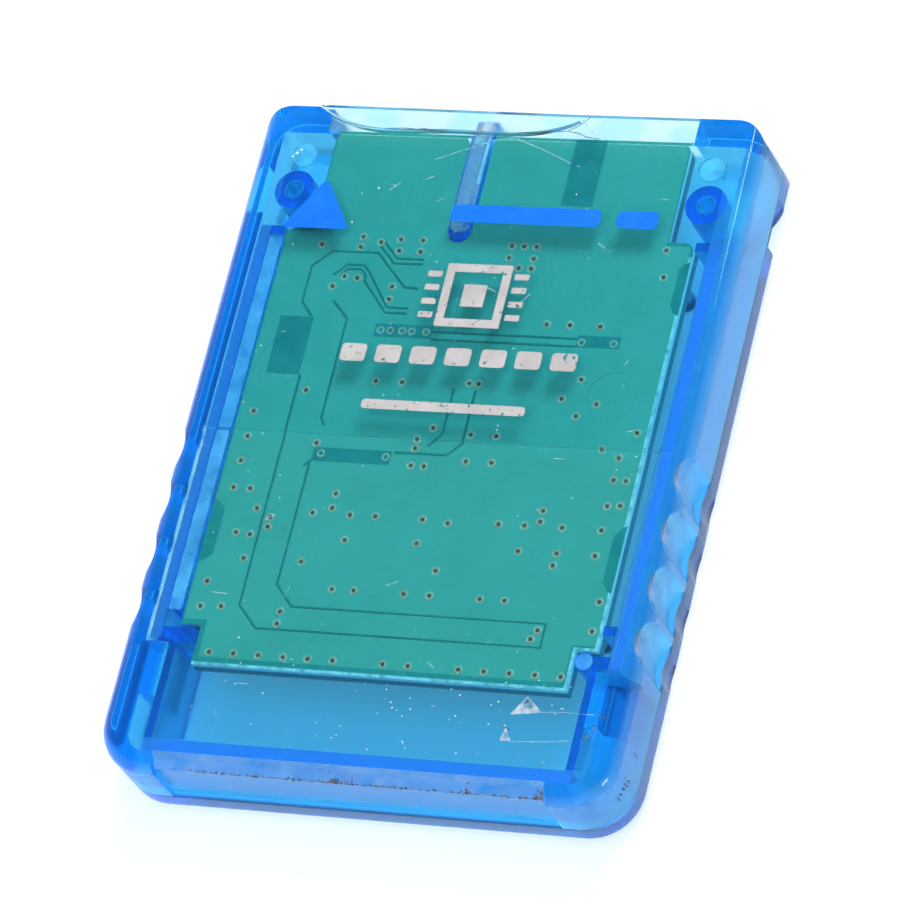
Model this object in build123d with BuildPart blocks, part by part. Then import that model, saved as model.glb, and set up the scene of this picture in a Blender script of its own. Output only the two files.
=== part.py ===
# Console memory card: two clear plastic shells round a circuit board, with a contact mouth at one end.
# Millimetres. Origin at the middle of the underside, +Y towards the mouth, +X across, +Z up.
import os

from build123d import *

# Card envelope
card_width = 42.0
card_length = 56.6
card_thickness = 7.8
seam_height = 2.6
seam_gap = 0.1
edge_radius = 1.4
grip_corner_radius = 4.0
mouth_corner_radius = 2.4

# Shell walls
mouth_plate = 1.5
grip_plate = 1.3
plate_step_y = 0.4
plate_step_run = 0.1
floor_thickness = 1.2
side_wall = 1.7
rear_wall = 2.36
grip_end_wall = 1.75
mouth_end_wall = 1.9
inner_corner_radius = 1.5
rim_gap = 0.1
top_gap = 0.1

# Contact mouth and its thin upper lip
mouth_width = 30.6
lip_thickness = 0.7

# Cracked crescent of the lip, still joined at its right end and lifted at its left end
crack_left = -16.3
crack_right = 6.6
crack_depth = 1.8
crack_left_run = 3.4
crack_right_run = 3.8
crack_foot_rise = 0.2
crack_lift = 0.3
crack_hinge = 1.6
crack_bridge = 0.9
crack_slit = 0.1

# Finger scallops on both long sides
scallop_count = 4
scallop_pitch = 4.5
scallop_first_y = -1.6
scallop_radius = 2.8
upper_scallop_depth = 0.8
lower_scallop_depth = 0.35

# Fine groove on the top face beside each grip
groove_inset = 2.25
groove_width = 0.3
groove_depth = 0.08
groove_lead = 0.3

# Latch notches in the lower shell
notch_start_y = 20.4
notch_length = 2.9
notch_ramp = 1.2
notch_depth = 1.05

# Label pocket over the grip end
pocket_width = 31.8
pocket_depth = 0.44
pocket_bevel = 1.06

# Inner wall of the lower shell round the board bay, stepping in behind the board
inner_wall = 0.95
rear_inner_wall = 0.65
end_inner_wall = 1.05
board_side_gap = 1.25
board_fit = 0.15
rear_step = 0.2
jog_drop = 0.4
return_width = 0.75
return_lead = 2.05

# Thick blocks of the upper shell beside the inner wall's rear part
block_drop = 1.4
block_rear_gap = 4.55

# Circuit board
board_thickness = 1.2
board_top_gap = 0.25
board_grip_space = 6.3
tongue_setback = 1.55
tongue_width = 29.7
tongue_corner_radius = 0.9
shoulder_setback = 10.1
shoulder_radius = 0.8
corner_cut_width = 1.7
corner_cut_length = 3.3

# Key rib through the board's slot
rib_x = -2.5
rib_width = 1.75
rib_length = 10.5
rib_setback = 0.2

# Posts and bosses
post_diameter = 1.5
support_diameter = 1.6
support_inset = 1.7
support_mouth_gap = 2.6
support_grip_gap = 2.8
rest_gap = 0.03
boss_diameter = 3.3
boss_bore = 1.6
boss_bore_depth = 3.6
boss_inset = 3.8
boss_setback = 6.9
pin_gap = 0.1
pin_length = 2.6

# Round ejector marks under the top wall
corner_mark_depth = 0.1
corner_mark_diameter = 2.1
corner_mark_inset = 3.95
corner_mark_setback = 3.9
plate_mark_depth = 0.04
plate_mark_diameter = 4.0
left_mark_inset = 6.7
left_mark_setback = 21.9
right_mark_inset = 7.6
right_mark_setback = 23.4

# Contact fingers under the tongue, three left of the rib and five right of it
pad_width = 1.9
pad_length = 6.5
pad_thickness = 0.08
pad_pitch = 2.95
pad_rib_gap = 1.0
pad_setback = 0.5
left_pad_count = 3
right_pad_count = 5

# Memory chip, leads on its two short sides
memory_length = 18.4
memory_width = 12.0
memory_height = 1.0
memory_grip_gap = 10.1
memory_lead_count = 24
memory_lead_pitch = 0.5
memory_lead_width = 0.2

# Controller chip, leads on all four sides
controller_size = 10.0
controller_height = 1.4
controller_x = 4.0
chip_gap = 3.4
controller_lead_count = 11
controller_lead_pitch = 0.8
controller_lead_width = 0.35

# Gull-wing leads and the gap under a chip body
lead_reach = 0.8
lead_foot = 0.45
lead_thickness = 0.13
chip_standoff = 0.1
chip_edge = 0.12
dimple_diameter = 1.2
dimple_depth = 0.08
dimple_inset = 1.3

# Chip capacitors, resistors and the resonator
capacitor_size = (2.0, 1.25, 0.9)
capacitor_inset = 4.0
controller_capacitor_shifts = [-3.4, 3.0]
memory_capacitor_shifts = [0.0, 1.0]
resistor_size = (1.6, 0.8, 0.45)
resistor_inset = 10.0
resistor_shifts = [-2.4, -0.2, 6.2, 8.4]
resonator_size = (3.2, 1.3, 1.0)
resonator_inset = 9.6
resonator_shift = 3.0
cap_length = 0.4
cap_swell = 0.03

# Faces worked out from the sizes above
half_width = card_width / 2
half_length = card_length / 2
mouth_ceiling = card_thickness - mouth_plate
grip_ceiling = card_thickness - grip_plate
skirt_bottom = seam_height + seam_gap
skirt_half = half_width - side_wall
rear_half = half_width - rear_wall
skirt_grip_y = grip_end_wall - half_length
mouth_wall_y = half_length - mouth_end_wall
lip_bottom = card_thickness - lip_thickness
bay_half = skirt_half - rim_gap - inner_wall
bay_grip_y = skirt_grip_y + rim_gap + end_inner_wall
wall_top = mouth_ceiling - top_gap
board_half = bay_half - board_side_gap
board_top = mouth_ceiling - board_top_gap
board_bottom = board_top - board_thickness
board_grip_y = bay_grip_y + board_grip_space
board_mouth_y = half_length - tongue_setback
shoulder_y = half_length - shoulder_setback
return_half = board_half + board_fit
rear_bay_half = board_half - rear_step
corner_cut_y = board_grip_y + corner_cut_length
jog_y = corner_cut_y - jog_drop
return_y = [shoulder_y - return_width, corner_cut_y + return_lead - return_width]
block_half = rear_bay_half + rear_inner_wall + rim_gap
block_front_y = jog_y - block_drop
block_rear_y = skirt_grip_y + block_rear_gap
rib_mouth_y = half_length - rib_setback
rib_end_y = rib_mouth_y - rib_length
boss_x = half_width - boss_inset
boss_y = half_length - boss_setback
post_x = board_half - corner_cut_width + board_fit + post_diameter / 2
post_y = corner_cut_y - board_fit - post_diameter / 2
support_x = board_half - support_inset
support_y = [shoulder_y - support_mouth_gap, corner_cut_y + support_grip_gap]
scallop_y = [scallop_first_y - i * scallop_pitch for i in range(scallop_count)]
slot_half = rib_width / 2 + board_fit
memory_y = board_grip_y + memory_grip_gap
controller_y = memory_y + memory_width / 2 + chip_gap + controller_size / 2
first_pad_reach = slot_half + pad_rib_gap + pad_width / 2
overrun = 2 * edge_radius + mouth_corner_radius
both_sides = (-1, 1)


# A slab of the card, its long edges and grip end rounded at the top or the bottom
def case_slab(low, high, rounded_end):
    with BuildPart() as slab:
        with BuildSketch(Plane.XY.offset(low)):
            with Locations((0, overrun / 2)):
                RectangleRounded(card_width, card_length + overrun, grip_corner_radius)
        extrude(amount=high - low)
        fillet(slab.faces().sort_by(Axis.Z)[rounded_end].edges(), edge_radius)
        with BuildSketch(Plane.XY.offset(low)) as plan:
            Rectangle(card_width, card_length)
            fillet(plan.vertices().group_by(Axis.Y)[-1], mouth_corner_radius)
        extrude(amount=high - low, mode=Mode.INTERSECT)
    return slab.part


# The rectangle between two opposite corners, in the sketch being drawn
def box_between(x_low, y_low, x_high, y_high, mode=Mode.ADD):
    with Locations(((x_low + x_high) / 2, (y_low + y_high) / 2)):
        Rectangle(x_high - x_low, y_high - y_low, mode=mode)


# Inside of the lower shell's rim, rounded at the grip end
def rim_plan():
    with BuildSketch() as plan:
        box_between(rim_gap - skirt_half, skirt_grip_y + rim_gap, skirt_half - rim_gap, mouth_wall_y)
        fillet(plan.vertices().group_by(Axis.Y)[0], inner_corner_radius)
    return plan.sketch


# Inside of the upper shell, up to a front face: wide at the grips, narrow at the blocks, then the rear
def skirt_plan(front_y):
    with BuildSketch() as plan:
        box_between(-rear_half, skirt_grip_y, rear_half, block_rear_y)
        fillet(plan.vertices().group_by(Axis.Y)[0], inner_corner_radius)
        box_between(-block_half, block_rear_y, block_half, block_front_y)
        box_between(-skirt_half, block_front_y, skirt_half, front_y)
    return plan.sketch


# Corners of the board bay's inner face, moved out by the walls at its sides, its rear part and its end
def bay_corners(side_wall_grow, rear_grow, end_grow):
    right = [
        (bay_half + side_wall_grow, shoulder_y),
        (bay_half + side_wall_grow, jog_y - side_wall_grow),
        (rear_bay_half + rear_grow, jog_y - side_wall_grow),
        (rear_bay_half + rear_grow, bay_grip_y - end_grow),
    ]
    left = [(-x, y) for x, y in reversed(right)]
    return right + left


# Slot round the key rib, open at the tongue's end
def slot_plan():
    with BuildSketch() as plan:
        box_between(rib_x - slot_half, rib_end_y + rib_width / 2, rib_x + slot_half, board_mouth_y)
        with Locations((rib_x, rib_end_y + rib_width / 2)):
            Circle(slot_half)
    return plan.sketch


# Crescent of the lip inside the crack, its inner edge drawn in by a margin
def crescent_plan(margin):
    inner_y = half_length - crack_depth + margin
    with BuildSketch() as plan:
        with BuildLine():
            left_tip = (crack_left + margin, half_length)
            left_foot = (crack_left + crack_left_run, inner_y + crack_foot_rise)
            middle = ((crack_left + crack_right) / 2, inner_y)
            right_foot = (crack_right - crack_right_run, inner_y + crack_foot_rise)
            right_tip = (crack_right, half_length)
            Spline(left_tip, left_foot, middle, right_foot, right_tip)
            Line(right_tip, left_tip)
        make_face()
    return plan.sketch


# One gull-wing lead of a chip under the board, its root at x = 0 and its foot towards +X
def gull_lead(width, chip_height):
    root_z = board_bottom - chip_standoff - chip_height / 2
    riser_x = lead_reach - lead_foot
    half_gauge = lead_thickness / 2
    with BuildPart() as lead:
        with BuildSketch(Plane.XZ):
            with BuildLine():
                Polyline(
                    (0, root_z - half_gauge),
                    (riser_x + half_gauge, root_z - half_gauge),
                    (riser_x + half_gauge, board_bottom - lead_thickness),
                    (lead_reach, board_bottom - lead_thickness),
                    (lead_reach, board_bottom),
                    (riser_x - half_gauge, board_bottom),
                    (riser_x - half_gauge, root_z + half_gauge),
                    (0, root_z + half_gauge),
                    close=True,
                )
            make_face()
        extrude(amount=width / 2, both=True)
    return lead.part


# A chip body under the board, bevelled round its free face, with a dimple at its first lead
def chip_body(length, width, height, x, y):
    low = board_bottom - chip_standoff - height
    with BuildPart() as body:
        with BuildSketch(Plane.XY.offset(low)):
            with Locations((x, y)):
                Rectangle(length, width)
        extrude(amount=height)
        chamfer(body.faces().sort_by(Axis.Z)[0].edges(), chip_edge)
        with BuildSketch(Plane.XY.offset(low)):
            with Locations((x + dimple_inset - length / 2, y + width / 2 - dimple_inset)):
                Circle(dimple_diameter / 2)
        extrude(amount=dimple_depth, mode=Mode.SUBTRACT)
    return body.part


# A two-ended ceramic piece under the board, with metal caps that stand slightly proud
def capped_piece(size, place):
    length, width, height = size
    with BuildPart() as piece:
        with BuildSketch(Plane.XY.offset(board_bottom - cap_swell)):
            with Locations(place):
                Rectangle(length - cap_length, width)
        extrude(amount=-height)
        with BuildSketch(Plane.XY.offset(board_bottom)):
            with Locations(place):
                with GridLocations(length - cap_length, 0, 2, 1):
                    Rectangle(cap_length, width + 2 * cap_swell)
        extrude(amount=-height - 2 * cap_swell)
    return piece.part


# Crescent of the broken lip, level at its hinge
with BuildPart() as lifted_crescent:
    with BuildSketch(Plane.XZ.offset(-half_length)):
        with BuildLine():
            Polyline(
                (crack_right, lip_bottom),
                (crack_right - crack_hinge, lip_bottom),
                (crack_left, lip_bottom + crack_lift),
                (crack_left, card_thickness + crack_lift),
                (crack_right - crack_hinge, card_thickness),
                (crack_right, card_thickness),
                close=True,
            )
        make_face()
    extrude(amount=2 * crack_depth)
    with BuildSketch(Plane.XY.offset(lip_bottom)):
        add(crescent_plan(crack_slit))
    extrude(amount=lip_thickness + crack_lift, mode=Mode.INTERSECT)

# Upper shell
with BuildPart() as upper_shell:
    add(case_slab(skirt_bottom, card_thickness, -1))
    with BuildSketch(Plane.XY.offset(skirt_bottom)):
        add(skirt_plan(mouth_wall_y))
    extrude(amount=mouth_ceiling - skirt_bottom, mode=Mode.SUBTRACT)
    with BuildSketch(Plane.XY.offset(mouth_ceiling)):
        add(skirt_plan(plate_step_y))
    extrude(amount=grip_ceiling - mouth_ceiling, mode=Mode.SUBTRACT)
    with BuildSketch(Plane.YZ.offset(-skirt_half)):
        with BuildLine():
            Polyline(
                (plate_step_y, mouth_ceiling),
                (plate_step_y + plate_step_run, mouth_ceiling),
                (plate_step_y, grip_ceiling),
                close=True,
            )
        make_face()
    extrude(amount=2 * skirt_half, mode=Mode.SUBTRACT)

    # Mouth, open at the end and thinned to the lip above
    with BuildSketch(Plane.XY.offset(skirt_bottom)):
        box_between(-mouth_width / 2, mouth_wall_y, mouth_width / 2, half_length)
    extrude(amount=lip_bottom - skirt_bottom, mode=Mode.SUBTRACT)

    # Finger scallops
    with BuildSketch(Plane.XY.offset(skirt_bottom)):
        scallop_x = half_width - upper_scallop_depth + scallop_radius
        with Locations([(side * scallop_x, y) for side in both_sides for y in scallop_y]):
            Circle(scallop_radius)
    extrude(amount=card_thickness - skirt_bottom, mode=Mode.SUBTRACT)

    # Fine grooves on the top face, a little longer than the grips
    groove_front_y = scallop_y[0] + scallop_pitch / 2 - groove_lead
    groove_rear_y = scallop_y[-1] - scallop_pitch / 2 - groove_lead
    with BuildSketch(Plane.XY.offset(card_thickness)):
        groove_x = half_width - groove_inset
        groove_y = (groove_front_y + groove_rear_y) / 2
        with Locations((-groove_x, groove_y), (groove_x, groove_y)):
            SlotOverall(groove_front_y - groove_rear_y, groove_width, rotation=90)
    extrude(amount=-groove_depth, mode=Mode.SUBTRACT)

    # Label pocket, a bevel over the edge and a sunk end face
    pocket_y = pocket_depth - half_length
    with BuildSketch(Plane.YZ.offset(-pocket_width / 2)):
        with BuildLine():
            Polyline(
                (pocket_y + pocket_bevel, card_thickness),
                (pocket_y, card_thickness - pocket_bevel),
                (pocket_y, skirt_bottom),
                (-half_length, skirt_bottom),
                (-half_length, card_thickness),
                close=True,
            )
        make_face()
    extrude(amount=pocket_width, mode=Mode.SUBTRACT)

    # Round marks that the mould's ejector pins left under the top wall
    with BuildSketch(Plane.XY.offset(mouth_ceiling)):
        mark_y = half_length - corner_mark_setback
        with Locations([(side * (half_width - corner_mark_inset), mark_y) for side in both_sides]):
            Circle(corner_mark_diameter / 2)
    extrude(amount=corner_mark_depth, mode=Mode.SUBTRACT)
    with BuildSketch(Plane.XY.offset(mouth_ceiling)):
        left_mark = (left_mark_inset - half_width, half_length - left_mark_setback)
        right_mark = (half_width - right_mark_inset, half_length - right_mark_setback)
        with Locations(left_mark, right_mark):
            Circle(plate_mark_diameter / 2)
    extrude(amount=plate_mark_depth, mode=Mode.SUBTRACT)

    # Pins for the lower shell's bosses
    with BuildSketch(Plane.XY.offset(mouth_ceiling)):
        with Locations([(side * boss_x, boss_y) for side in both_sides]):
            Circle(boss_bore / 2 - pin_gap)
    extrude(amount=-pin_length)

    # Crack round the crescent, short of its right end, then the crescent rising to its left tip
    with BuildSketch(Plane.XY.offset(lip_bottom)):
        add(crescent_plan(0))
        box_between(crack_right - crack_bridge, mouth_wall_y, crack_right, half_length, Mode.SUBTRACT)
    extrude(amount=lip_thickness, mode=Mode.SUBTRACT)
    add(lifted_crescent.part)
upper_shell.part.label = "upper_shell"

# Lower shell
with BuildPart() as lower_shell:
    add(case_slab(0, seam_height, 0))
    with BuildSketch(Plane.XY.offset(floor_thickness)):
        add(rim_plan())
        box_between(-mouth_width / 2, mouth_wall_y, mouth_width / 2, half_length)
    extrude(amount=seam_height - floor_thickness, mode=Mode.SUBTRACT)

    # Finger scallops, shallower than those above
    with BuildSketch():
        scallop_x = half_width - lower_scallop_depth + scallop_radius
        with Locations([(side * scallop_x, y) for side in both_sides for y in scallop_y]):
            Circle(scallop_radius)
    extrude(amount=seam_height, mode=Mode.SUBTRACT)

    # Latch notches, square at the grip side and ramped towards the mouth
    for side in both_sides:
        with BuildSketch():
            with BuildLine():
                Polyline(
                    (side * half_width, notch_start_y),
                    (side * (half_width - notch_depth), notch_start_y),
                    (side * (half_width - notch_depth), notch_start_y + notch_length),
                    (side * half_width, notch_start_y + notch_length + notch_ramp),
                    close=True,
                )
            make_face()
        extrude(amount=seam_height, mode=Mode.SUBTRACT)

    # Inner wall round the board bay, with two returns on each side that reach in to the board
    with BuildSketch(Plane.XY.offset(floor_thickness)):
        with BuildLine():
            Polyline(*bay_corners(inner_wall, rear_inner_wall, end_inner_wall), close=True)
        make_face()
        with BuildLine():
            Polyline(*bay_corners(0, 0, 0), close=True)
        make_face(mode=Mode.SUBTRACT)
        for y in return_y:
            box_between(return_half, y, bay_half, y + return_width)
            box_between(-bay_half, y, -return_half, y + return_width)
    extrude(amount=wall_top - floor_thickness)

    # Key rib, round at its inner end
    with BuildSketch(Plane.XY.offset(floor_thickness)):
        box_between(rib_x - rib_width / 2, rib_end_y + rib_width / 2, rib_x + rib_width / 2, rib_mouth_y)
        with Locations((rib_x, rib_end_y + rib_width / 2)):
            Circle(rib_width / 2)
    extrude(amount=wall_top - floor_thickness)

    # Posts in the board's corner cuts, and the supports that the board rests on
    with BuildSketch(Plane.XY.offset(floor_thickness)):
        with Locations([(side * post_x, post_y) for side in both_sides]):
            Circle(post_diameter / 2)
    extrude(amount=wall_top - floor_thickness)
    with BuildSketch(Plane.XY.offset(floor_thickness)):
        with Locations([(side * support_x, y) for side in both_sides for y in support_y]):
            Circle(support_diameter / 2)
    extrude(amount=board_bottom - rest_gap - floor_thickness)

    # Bosses that take the upper shell's pins
    boss_places = [(side * boss_x, boss_y) for side in both_sides]
    with BuildSketch(Plane.XY.offset(floor_thickness)):
        with Locations(boss_places):
            Circle(boss_diameter / 2)
    extrude(amount=mouth_ceiling - rest_gap - floor_thickness)
    with BuildSketch(Plane.XY.offset(mouth_ceiling - rest_gap)):
        with Locations(boss_places):
            Circle(boss_bore / 2)
    extrude(amount=-boss_bore_depth, mode=Mode.SUBTRACT)
lower_shell.part.label = "lower_shell"

# Circuit board: wide bay part, corner cuts at the grip end, slotted tongue towards the mouth
with BuildPart() as circuit_board:
    with BuildSketch(Plane.XY.offset(board_bottom)) as bay_part:
        box_between(-board_half, board_grip_y, board_half, shoulder_y)
        fillet(bay_part.vertices().group_by(Axis.Y)[-1], shoulder_radius)
        for side in both_sides:
            cut_x = side * (board_half - corner_cut_width / 2)
            with Locations((cut_x, board_grip_y + corner_cut_length / 2)):
                Rectangle(corner_cut_width, corner_cut_length, mode=Mode.SUBTRACT)
    extrude(amount=board_thickness)
    with BuildSketch(Plane.XY.offset(board_bottom)) as tongue:
        box_between(-tongue_width / 2, shoulder_y - shoulder_radius, tongue_width / 2, board_mouth_y)
        add(slot_plan(), mode=Mode.SUBTRACT)
        fillet(tongue.vertices().group_by(Axis.Y)[-1], tongue_corner_radius)
    extrude(amount=board_thickness)
    with BuildSketch(Plane.XY.offset(board_bottom)):
        add(slot_plan())
    extrude(amount=board_thickness, mode=Mode.SUBTRACT)
circuit_board.part.label = "circuit_board"

# Contact fingers under the tongue
left_pads = [rib_x - first_pad_reach - i * pad_pitch for i in range(left_pad_count)]
right_pads = [rib_x + first_pad_reach + i * pad_pitch for i in range(right_pad_count)]
contact_pads = []
for number, pad_x in enumerate(sorted(left_pads + right_pads), start=1):
    with BuildPart() as contact_pad:
        with BuildSketch(Plane.XY.offset(board_bottom)):
            pad_y = board_mouth_y - pad_setback
            box_between(pad_x - pad_width / 2, pad_y - pad_length, pad_x + pad_width / 2, pad_y)
        extrude(amount=-pad_thickness)
    contact_pad.part.label = f"contact_pad_{number}"
    contact_pads.append(contact_pad.part)

# Memory chip and its leads
memory_chip = chip_body(memory_length, memory_width, memory_height, 0, memory_y)
memory_chip.label = "memory_chip"
with BuildPart() as memory_leads:
    memory_lead = gull_lead(memory_lead_width, memory_height)
    with Locations((0, memory_y)):
        with PolarLocations(0, 2):
            with Locations((memory_length / 2, 0)):
                with GridLocations(0, memory_lead_pitch, 1, memory_lead_count):
                    add(memory_lead)
memory_leads.part.label = "memory_leads"

# Controller chip and its leads
controller_chip = chip_body(
    controller_size, controller_size, controller_height, controller_x, controller_y
)
controller_chip.label = "controller_chip"
with BuildPart() as controller_leads:
    controller_lead = gull_lead(controller_lead_width, controller_height)
    with Locations((controller_x, controller_y)):
        with PolarLocations(0, 4):
            with Locations((controller_size / 2, 0)):
                with GridLocations(0, controller_lead_pitch, 1, controller_lead_count):
                    add(controller_lead)
controller_leads.part.label = "controller_leads"

# Small ceramic pieces, placed across the board from its long edges and along it from the chips
capacitor_x = board_half - capacitor_inset
resistor_x = resistor_inset - board_half
capacitor_places = [
    (-capacitor_x, controller_y + controller_capacitor_shifts[0]),
    (-capacitor_x, memory_y + memory_capacitor_shifts[0]),
    (capacitor_x, memory_y + memory_capacitor_shifts[1]),
    (capacitor_x, controller_y + controller_capacitor_shifts[1]),
]
resistor_places = [(resistor_x, controller_y + shift) for shift in resistor_shifts]
resonator_place = (resonator_inset - board_half, controller_y + resonator_shift)
small_pieces = []
for number, place in enumerate(capacitor_places, start=1):
    capacitor = capped_piece(capacitor_size, place)
    capacitor.label = f"capacitor_{number}"
    small_pieces.append(capacitor)
for number, place in enumerate(resistor_places, start=1):
    resistor = capped_piece(resistor_size, place)
    resistor.label = f"resistor_{number}"
    small_pieces.append(resistor)
resonator = capped_piece(resonator_size, resonator_place)
resonator.label = "resonator"
small_pieces.append(resonator)

# One file for each piece, named after it
shells_and_board = [upper_shell.part, lower_shell.part, circuit_board.part]
chips = [memory_chip, memory_leads.part, controller_chip, controller_leads.part]
os.makedirs("parts", exist_ok=True)
for piece in shells_and_board + contact_pads + chips + small_pieces:
    export_step(piece, f"parts/{piece.label}.step")
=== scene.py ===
import math
import random

import bmesh
import bpy
from mathutils import Matrix, Vector


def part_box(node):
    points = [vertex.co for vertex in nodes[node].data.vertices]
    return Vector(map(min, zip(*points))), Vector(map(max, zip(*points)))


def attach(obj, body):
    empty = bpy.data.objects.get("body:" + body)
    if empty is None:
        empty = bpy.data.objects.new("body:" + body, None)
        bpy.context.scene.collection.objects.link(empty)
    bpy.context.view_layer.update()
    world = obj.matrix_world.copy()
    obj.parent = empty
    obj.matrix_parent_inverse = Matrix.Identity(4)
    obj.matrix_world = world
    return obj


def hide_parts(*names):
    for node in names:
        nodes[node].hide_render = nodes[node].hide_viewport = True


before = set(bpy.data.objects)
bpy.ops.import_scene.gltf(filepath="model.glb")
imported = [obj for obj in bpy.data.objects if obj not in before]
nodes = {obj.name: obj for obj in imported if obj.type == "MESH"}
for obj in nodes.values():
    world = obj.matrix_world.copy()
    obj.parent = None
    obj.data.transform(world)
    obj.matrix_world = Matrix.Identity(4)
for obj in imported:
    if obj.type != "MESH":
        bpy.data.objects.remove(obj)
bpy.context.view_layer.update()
mm = 0.001
print("frame loaded with", len(nodes), "nodes")


class Strand:
    # one output of a shader tree, so that shader maths reads as plain arithmetic
    def __init__(self, tree, socket=None):
        self.tree = tree
        self.socket = socket

    def make(self, kind, settings={}, values={}, out=0):
        node = self.tree.nodes.new("ShaderNode" + kind)
        for key, value in settings.items():
            if key == "stops":
                self.setStops(node.color_ramp, value)
            else:
                setattr(node, key, value)
        for key, value in values.items():
            if isinstance(value, Strand):
                self.tree.links.new(value.socket, node.inputs[key])
            else:
                node.inputs[key].default_value = value
        return Strand(self.tree, node.outputs[out] if node.outputs else None)

    def setStops(self, ramp, stops):
        while len(ramp.elements) < len(stops):
            ramp.elements.new(1)
        for element, (place, colour) in zip(ramp.elements, stops):
            element.position = place
            element.color = (*colour, 1)

    def maths(self, operation, first, second):
        return self.make("Math", {"operation": operation}, {0: first, 1: second})

    def __add__(self, other):
        return self.maths("ADD", self, other)

    def __radd__(self, other):
        return self.maths("ADD", other, self)

    def __sub__(self, other):
        return self.maths("SUBTRACT", self, other)

    def __rsub__(self, other):
        return self.maths("SUBTRACT", other, self)

    def __mul__(self, other):
        return self.maths("MULTIPLY", self, other)

    def __truediv__(self, other):
        return self.maths("DIVIDE", self, other)


def newMaterial(name):
    material = bpy.data.materials.new(name)
    material.use_nodes = True
    material.node_tree.nodes.clear()
    return material, Strand(material.node_tree)


def axesOf(strand):
    # x, y and z of the piece's own frame, in millimetres
    place = strand.make("TexCoord", out="Object")
    return [strand.make("SeparateXYZ", {}, {0: place}, axis) / mm for axis in "XYZ"]


def noiseOf(strand, perMetre, detail=3.0, stretch=(1, 1, 1)):
    place = strand.make("TexCoord", out="Object")
    turned = strand.make("Mapping", {}, {"Vector": place, "Scale": stretch})
    return strand.make("TexNoise", {}, {"Vector": turned, "Scale": perMetre, "Detail": detail})


def over(value, limit):
    return value.maths("GREATER_THAN", value, limit)


def under(value, limit):
    return value.maths("LESS_THAN", value, limit)


def rampOf(strand, value, *stops):
    return strand.make("ValToRGB", {"stops": stops}, {0: value})


def mixed(strand, factor, first, second):
    # the colour sockets of a Mix node are its sixth and seventh
    values = {0: factor}
    for socket, colour in ((6, first), (7, second)):
        values[socket] = colour if isinstance(colour, Strand) else (*colour, 1)
    return strand.make("Mix", {"data_type": "RGBA"}, values, 2)


def bumpOf(strand, height, distance, strength=1.0):
    return strand.make("Bump", {}, {"Height": height, "Distance": distance, "Strength": strength})


def surfaced(material, strand, values):
    shader = strand.make("BsdfPrincipled", {}, values)
    strand.make("OutputMaterial", {}, {"Surface": shader})
    return material


clearBlue = {
    "ior": 1.5,
    "kept": (0.0, 0.81, 0.995),
    "gloss": 0.08,
    "window": 0.14,
    "frost": 0.36,
    "haze": (0.4, 0.74, 1.0),
    "hazeRoughness": 0.45,
    "cloudPerMetre": 300.0,
    "cloudWander": 0.06,
    "blotchRange": (0.42, 0.6),
    "bayHalf": 18.3,
    "bayEnd": -25.45,
    "sideHalf": 19.45,
    "sideEnd": -26.65,
    "blockHaze": 0.06,
    "plateBottom": 6.1,
    "floorTop": 1.3,
    "lip": (26.2, 16.5, 7.05, 7.75),
    "lipHaze": 0.35,
}


def bluePlastic(name, innerTop, sideHaze, density):
    # glossy outside, clear over the board and in the floor, frosted down the walls,
    # a little milky along the walls and at the lip
    material, strand = newMaterial(name)
    x, y, z = axesOf(strand)
    across = x.maths("ABSOLUTE", x, 0.0)
    outside = 1.0 - under(across, clearBlue["sideHalf"]) * over(y, clearBlue["sideEnd"])
    blocks = 1.0 - under(across, clearBlue["bayHalf"]) * over(y, clearBlue["bayEnd"])
    below = under(z, innerTop)
    deep = under(z, clearBlue["plateBottom"]) * over(z, clearBlue["floorTop"])
    lipY, lipHalf, lipLow, lipHigh = clearBlue["lip"]
    lip = over(y, lipY) * under(across, lipHalf) * over(z, lipLow) * under(z, lipHigh)
    cloudy = noiseOf(strand, clearBlue["cloudPerMetre"], detail=1.0)
    wander = clearBlue["cloudWander"]
    window = below * (clearBlue["window"] - clearBlue["gloss"])
    rough = deep.maths("MAXIMUM", deep, lip.maths("MAXIMUM", lip, below * (blocks - outside)))
    frost = rough * (clearBlue["frost"] - clearBlue["window"])
    glass = strand.make("BsdfPrincipled", {}, {
        "Base Color": (1, 1, 1, 1),
        "Roughness": window + frost + cloudy * wander + (clearBlue["gloss"] - wander / 2),
        "IOR": clearBlue["ior"],
        "Transmission Weight": 1.0,
    })
    milk = strand.make("BsdfPrincipled", {}, {
        "Base Color": (*clearBlue["haze"], 1),
        "Roughness": clearBlue["hazeRoughness"],
    })
    thin, thick = clearBlue["blotchRange"]
    blotches = rampOf(strand, cloudy, (thin, (0, 0, 0)), (thick, (1, 1, 1)))
    milky = below * (blocks - outside) * clearBlue["blockHaze"]
    milky = milky + outside * deep * sideHaze + lip * blotches * clearBlue["lipHaze"]
    plastic = strand.make("MixShader", {}, {0: milky, 1: glass, 2: milk})
    lampRay = strand.make("LightPath", out="Is Shadow Ray")
    through = strand.make("BsdfTransparent")
    surface = strand.make("MixShader", {}, {0: lampRay, 1: plastic, 2: through})
    volume = strand.make("VolumeAbsorption", {}, {
        "Color": (*clearBlue["kept"], 1),
        "Density": density,
    })
    strand.make("OutputMaterial", {}, {"Surface": surface, "Volume": volume})
    return material


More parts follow.
